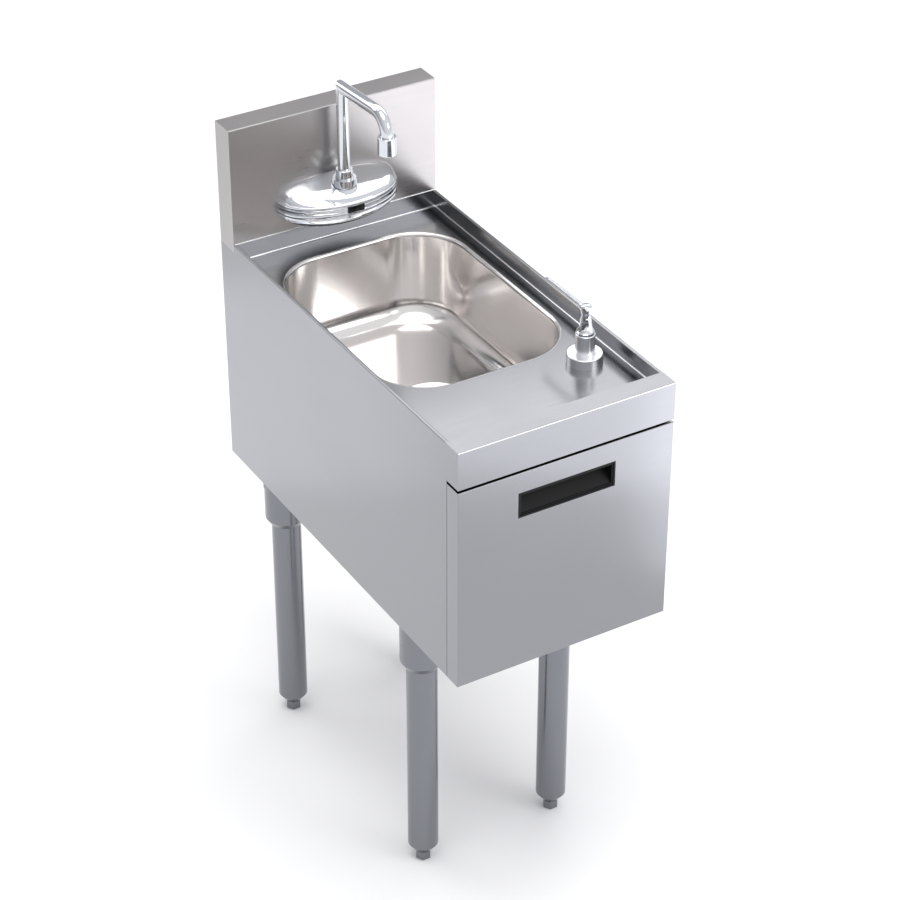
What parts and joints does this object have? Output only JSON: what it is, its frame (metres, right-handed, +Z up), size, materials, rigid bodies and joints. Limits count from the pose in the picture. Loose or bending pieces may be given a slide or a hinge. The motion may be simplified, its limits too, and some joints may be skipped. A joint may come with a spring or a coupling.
{
  "type": "under-bar hand sink",
  "caption": "Narrow stainless steel hand sink on four legs with a backsplash faucet, soap pump and pull-out drawer.",
  "frame": {"origin": "on the floor at the middle of the footprint", "axes": "+Z up, +Y towards the backsplash, the drawer faces -Y, +X to the right seen from the front"},
  "size_m": [0.3048, 0.6096, 0.989],
  "materials": {
    "stainless_sheet": "brushed stainless sheet, No. 4 finish",
    "stainless_bowl": "drawn stainless, satin",
    "stainless_tube": "satin stainless tube",
    "zinc_steel": "zinc plated screws and nuts",
    "spring_steel": "spring wire",
    "chrome": "polished chrome plate",
    "brass": "machined brass",
    "black_plastic": "moulded, fine texture",
    "grey_plastic": "moulded",
    "white_plastic": "moulded",
    "bottle_plastic": "translucent blow moulding",
    "sensor_lens": "dark infrared lens",
    "black_rubber": "moulded",
    "braided_hose": "steel-braided sleeve on rubber"
  },
  "bodies": {
    "sink": {"deck_pan": "stainless_sheet", "left_side_panel": "stainless_sheet", "right_side_panel": "stainless_sheet", "backsplash": "stainless_sheet", "rear_panel": "stainless_sheet", "front_channel": "stainless_sheet", "rear_channel": "stainless_sheet", "foot_inserts": "black_plastic", "socket_set_screws": "zinc_steel", "sink_bowl": "stainless_bowl", "drain_flange": "chrome", "drain_strainer": "chrome", "drain_gasket": "black_rubber", "drain_locknut": "brass", "tailpiece": "chrome", "tailpiece_nut": "chrome", "faucet_body": "chrome", "sensor_window": "sensor_lens", "faucet_shank": "brass", "shank_nut": "brass", "supply_elbow": "brass", "faucet_mount_screws": "zinc_steel", "control_box": "grey_plastic", "control_box_lid": "grey_plastic", "control_box_screws": "zinc_steel", "inlet_fitting": "brass", "supply_hose": "braided_hose", "sensor_cable": "black_rubber", "soap_flange": "stainless_tube", "soap_body": "stainless_tube", "soap_locknut": "black_plastic", "pump_dome": "chrome", "pump_cylinder": "white_plastic", "soap_bottle": "bottle_plastic", "dip_tube": "white_plastic", "cabinet_rails": "zinc_steel", "rail_stud_nuts": "zinc_steel", "leg_socket_front_left": "stainless_tube", "leg_front_left": "stainless_tube", "leg_socket_front_right": "stainless_tube", "leg_front_right": "stainless_tube", "leg_socket_rear_left": "stainless_tube", "leg_rear_left": "stainless_tube", "leg_socket_rear_right": "stainless_tube", "leg_rear_right": "stainless_tube"},
    "drawer": {"drawer_front": "stainless_sheet", "drawer_pull": "black_plastic", "drawer_box": "stainless_sheet", "drawer_rails": "zinc_steel", "drawer_glides": "white_plastic"},
    "spout_arm": {"spout_collar": "chrome", "spout": "chrome", "aerator": "chrome"},
    "pump_plunger": {"pump_stem": "white_plastic", "pump_spring": "spring_steel"},
    "pump_top": {"pump_head": "chrome"},
    "front_left_foot": {"foot_front_left": "stainless_tube"},
    "front_right_foot": {"foot_front_right": "stainless_tube"},
    "rear_left_foot": {"foot_rear_left": "stainless_tube"},
    "rear_right_foot": {"foot_rear_right": "stainless_tube"}
  },
  "joints": [
    {"name": "drawer_slide", "type": "slide", "parent": "sink", "child": "drawer", "axis": [0, -1, 0], "range_m": [0, 0.19]},
    {"name": "spout_swivel", "type": "hinge", "parent": "sink", "child": "spout_arm", "pos_m": [0, 0.2417, 0.8457], "axis": [0, 0, 1], "range_deg": [-90, 90]},
    {"name": "pump_press", "type": "slide", "parent": "sink", "child": "pump_plunger", "axis": [0, 0, -1], "range_m": [0, 0.01], "stiffness_N_per_m": 350, "springref_m": -0.012, "deforming": ["pump_spring"]},
    {"name": "pump_swivel", "type": "hinge", "parent": "pump_plunger", "child": "pump_top", "pos_m": [0.1078, -0.1728, 0.8], "axis": [0, 0, 1], "continuous": true},
    {"name": "front_left_levelling", "type": "slide", "parent": "sink", "child": "front_left_foot", "axis": [0, 0, -1], "range_m": [0, 0.025]},
    {"name": "front_right_levelling", "type": "slide", "parent": "sink", "child": "front_right_foot", "axis": [0, 0, -1], "range_m": [0, 0.025]},
    {"name": "rear_left_levelling", "type": "slide", "parent": "sink", "child": "rear_left_foot", "axis": [0, 0, -1], "range_m": [0, 0.025]},
    {"name": "rear_right_levelling", "type": "slide", "parent": "sink", "child": "rear_right_foot", "axis": [0, 0, -1], "range_m": [0, 0.025]}
  ]
}
